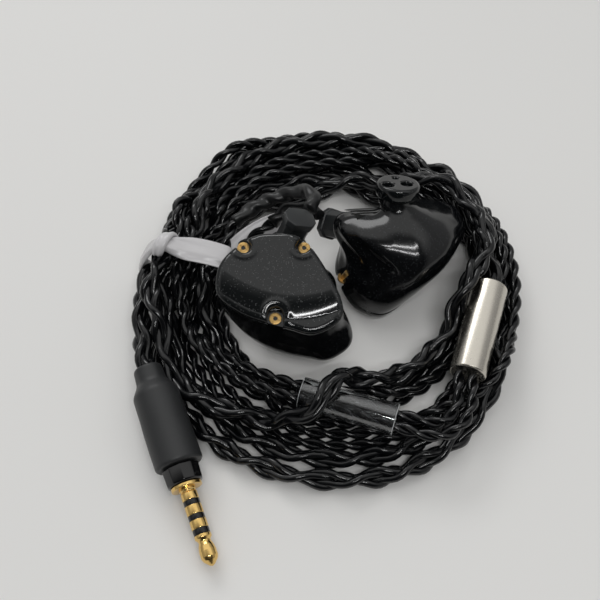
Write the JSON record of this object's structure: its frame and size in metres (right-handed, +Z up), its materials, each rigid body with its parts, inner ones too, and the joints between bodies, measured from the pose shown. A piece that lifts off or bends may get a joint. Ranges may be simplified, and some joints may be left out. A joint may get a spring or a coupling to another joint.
{
  "type": "in ear monitors",
  "caption": "In ear monitors: two black resin earpieces with detachable two-pin ear hooks, lying in the coil of their braided cable with splitter, chin slider, tie and 2.5 mm plug.",
  "frame": {"origin": "on the table, under the middle of the two earpieces", "axes": "+Z up from the table, +X from the left earpiece towards the right one, +Y away from the plug"},
  "size_m": [0.0608, 0.077, 0.0193],
  "materials": {
    "resin_shell": "clear-coated black resin with fine silver flecks",
    "resin_plate": "polished black resin with fine silver flecks",
    "brass": "turned brass",
    "driver_steel": "pressed and laser-welded steel cans",
    "board": "solder-masked circuit board",
    "sound_tubing": "soft clear tubing",
    "socket_plastic": "moulded",
    "connector_plastic": "moulded, satin",
    "gold_contact": "gold plated",
    "heat_shrink": "matte heat-shrink tubing",
    "cable_jacket": "glossy soft plastic over braided strands",
    "nickel": "turned and brushed, nickel plated",
    "clear_plastic": "clear extruded tube",
    "tie_plastic": "white soft plastic over a wire core",
    "gloss_black": "polished black plastic"
  },
  "bodies": {
    "root": {"cable_coil": "cable_jacket", "cable_tie": "tie_plastic", "left_crossover_board": "board", "left_ear_hook": "heat_shrink", "left_faceplate": "resin_plate", "left_faceplate_screw_1": "brass", "left_faceplate_screw_2": "brass", "left_faceplate_screw_3": "brass", "left_high_driver": "driver_steel", "left_high_tube": "sound_tubing", "left_lead_run": "cable_jacket", "left_low_driver": "driver_steel", "left_low_tube": "sound_tubing", "left_mid_driver": "driver_steel", "left_mid_tube": "sound_tubing", "left_nozzle_cap": "resin_plate", "left_shell": "resin_shell", "left_socket": "socket_plastic", "main_cable_end": "cable_jacket", "main_cable_start": "cable_jacket", "plug_collar": "gloss_black", "plug_heat_shrink": "heat_shrink", "plug_insulator_1": "gloss_black", "plug_insulator_2": "gloss_black", "plug_insulator_3": "gloss_black", "plug_ring_1": "gold_contact", "plug_ring_2": "gold_contact", "plug_sleeve": "gold_contact", "plug_tip": "gold_contact", "plug_washer": "gold_contact", "right_crossover_board": "board", "right_ear_hook": "heat_shrink", "right_faceplate": "resin_plate", "right_faceplate_screw_1": "brass", "right_faceplate_screw_2": "brass", "right_faceplate_screw_3": "brass", "right_high_driver": "driver_steel", "right_high_tube": "sound_tubing", "right_lead_run": "cable_jacket", "right_low_driver": "driver_steel", "right_low_tube": "sound_tubing", "right_mid_driver": "driver_steel", "right_mid_tube": "sound_tubing", "right_nozzle_cap": "resin_plate", "right_shell": "resin_shell", "right_socket": "socket_plastic", "splitter_barrel": "nickel", "splitter_insert": "connector_plastic"},
    "left_connector": {"left_connector_housing": "connector_plastic", "left_pin_1": "gold_contact", "left_pin_2": "gold_contact"},
    "right_connector": {"right_connector_housing": "connector_plastic", "right_pin_1": "gold_contact", "right_pin_2": "gold_contact"},
    "slider": {"chin_slider": "clear_plastic"}
  },
  "joints": [
    {"name": "left_connector_slide", "type": "slide", "parent": "root", "child": "left_connector", "axis": [0.3809, 0.2426, 0.8922], "range_m": [0, 0.006]},
    {"name": "right_connector_slide", "type": "slide", "parent": "root", "child": "right_connector", "axis": [-0.4949, 0.5555, -0.6682], "range_m": [0, 0.006]},
    {"name": "chin_slide", "type": "slide", "parent": "root", "child": "slider", "axis": [0.9527, -0.3038, 0], "range_m": [-0.004, 0.0025]}
  ]
}
